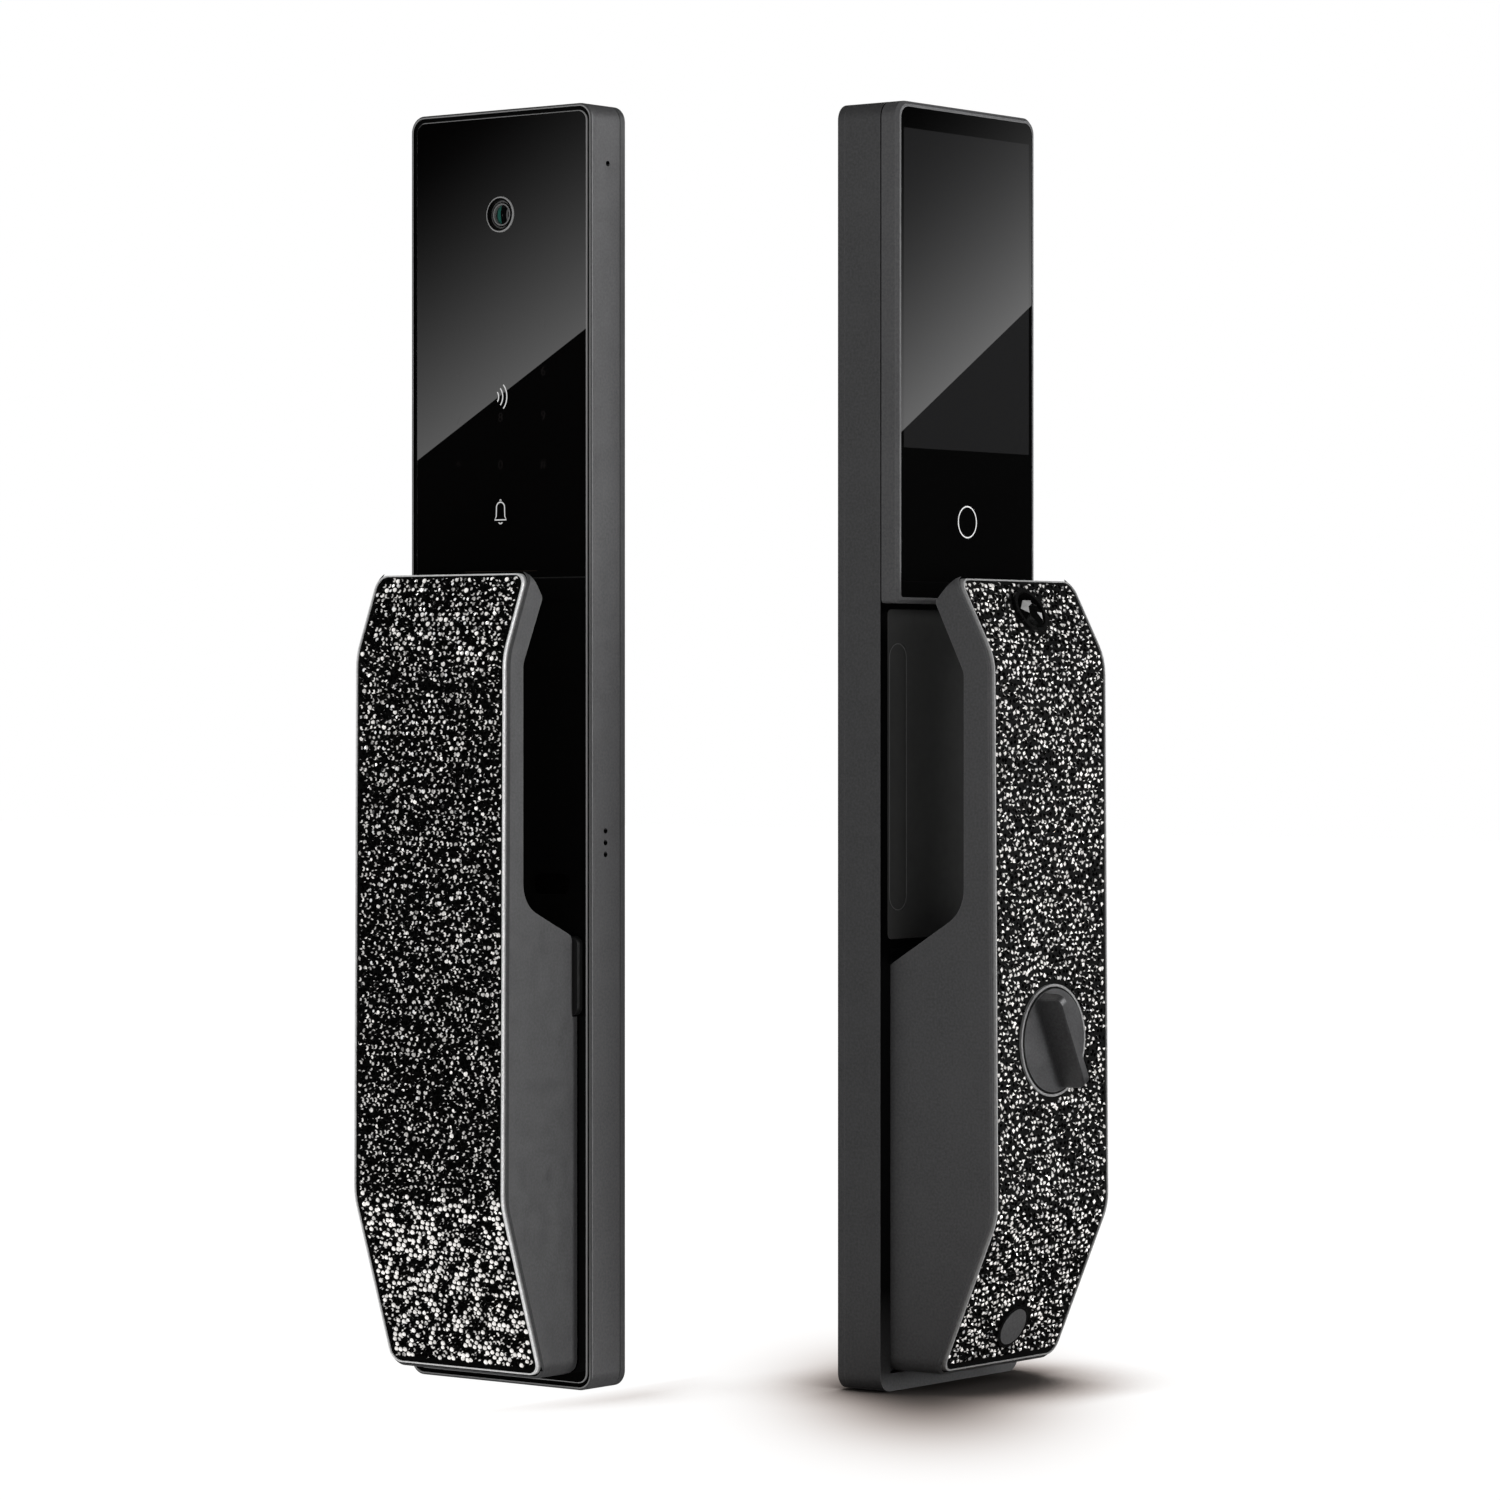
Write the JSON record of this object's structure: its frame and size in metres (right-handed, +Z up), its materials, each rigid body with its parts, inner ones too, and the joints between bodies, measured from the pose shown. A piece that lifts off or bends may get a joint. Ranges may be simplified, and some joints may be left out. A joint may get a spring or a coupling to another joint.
{
  "type": "keypad smart lock",
  "caption": "Push-pull smart door lock: a glass-fronted keypad unit with camera and a display unit with thumbturn, both with stone-covered handles.",
  "frame": {"origin": "centre of the footprint of the two units, on the surface they stand on", "axes": "+Z up along both units, outside unit faces -Y, inside unit faces +X"},
  "size_m": [0.2094, 0.1734, 0.43],
  "materials": {
    "housing_grey": "satin",
    "handle_grey": "satin",
    "knob_grey": "satin",
    "black_glass": "polished",
    "gloss_black": "gloss",
    "black_plastic": "matte",
    "rubber": "matte",
    "steel": "brushed",
    "brass": "machined",
    "stones": "faceted",
    "jewel": "faceted",
    "lens_glass": "coated",
    "display": "gloss",
    "circuit_board": "satin",
    "battery_wrap": "satin"
  },
  "bodies": {
    "lock_bases": {"outer_housing": "housing_grey", "outer_glass_panel": "black_glass", "outer_rear_cover": "housing_grey", "outer_door_gasket": "rubber", "outer_cover_screws": "steel", "camera_bezel": "gloss_black", "camera_barrel": "black_plastic", "camera_lens": "lens_glass", "touch_keypad_board": "circuit_board", "outer_control_board": "circuit_board", "door_microphone": "steel", "door_speaker": "black_plastic", "handle_guide_block": "black_plastic", "outer_pivot_pin": "steel", "outer_return_spring": "steel", "inner_housing": "housing_grey", "inner_rear_plate": "housing_grey", "inner_door_gasket": "rubber", "inner_cover_screws": "steel", "display_housing": "housing_grey", "display_glass": "black_glass", "display_panel": "display", "inner_control_board": "circuit_board", "battery_pack": "battery_wrap", "inner_pivot_pin": "steel", "inner_return_spring": "steel", "spindle_bushing": "brass"},
    "outer_handle": {"outer_handle_body": "handle_grey", "outer_handle_trim": "gloss_black", "outer_stone_panel": "stones", "outer_drive_stem": "steel", "fingerprint_sensor": "gloss_black"},
    "inner_handle": {"inner_handle_body": "handle_grey", "inner_handle_trim": "gloss_black", "inner_stone_panel": "stones", "inner_drive_stem": "steel", "thumbturn_cup": "gloss_black", "jewel_button_cup": "gloss_black", "jewel_button_spring": "steel", "lower_button_cup": "gloss_black", "lower_button_spring": "steel"},
    "thumbturn": {"thumbturn_knob": "knob_grey", "thumbturn_shaft": "steel"},
    "spindle": {"spindle_hub": "brass"},
    "jewel_button": {"jewel_button": "jewel"},
    "lower_button": {"lower_button": "knob_grey"},
    "battery_cover": {"battery_cover": "black_plastic", "cover_grip_strip": "rubber"}
  },
  "joints": [
    {"name": "outer_handle_pull", "type": "hinge", "parent": "lock_bases", "child": "outer_handle", "pos_m": [-0.06473, -0.0418, 0.01], "axis": [1, 0, 0], "range_deg": [0, 3], "stiffness_Nm_per_rad": 12, "springref_deg": -5.73},
    {"name": "inner_handle_push", "type": "hinge", "parent": "lock_bases", "child": "inner_handle", "pos_m": [0.04548, 0.0467, 0.012], "axis": [0, -1, 0], "range_deg": [0, 2.5], "stiffness_Nm_per_rad": 10, "springref_deg": -4.58},
    {"name": "thumbturn_turn", "type": "hinge", "parent": "inner_handle", "child": "thumbturn", "pos_m": [0.09348, 0.0467, 0.117], "axis": [1, 0, 0], "range_deg": [-27, 63]},
    {"name": "spindle_turn", "type": "hinge", "parent": "lock_bases", "child": "spindle", "pos_m": [0.04448, 0.0467, 0.117], "axis": [1, 0, 0], "range_deg": [-27, 63]},
    {"name": "jewel_button_press", "type": "slide", "parent": "inner_handle", "child": "jewel_button", "axis": [-0.8846, 0, -0.4663], "range_m": [0, 0.0012], "stiffness_N_per_m": 600, "springref_m": -0.001, "deforming": ["jewel_button_spring"]},
    {"name": "lower_button_press", "type": "slide", "parent": "inner_handle", "child": "lower_button", "axis": [-0.9194, 0, 0.3933], "range_m": [0, 0.001], "stiffness_N_per_m": 600, "springref_m": -0.001, "deforming": ["lower_button_spring"]},
    {"name": "battery_cover_release", "type": "slide", "parent": "lock_bases", "child": "battery_cover", "axis": [1, 0, 0], "range_m": [0, 0.005]}
  ],
  "couplings": [
    {"joint": "spindle_turn", "follows": "thumbturn_turn", "ratio": 1}
  ]
}
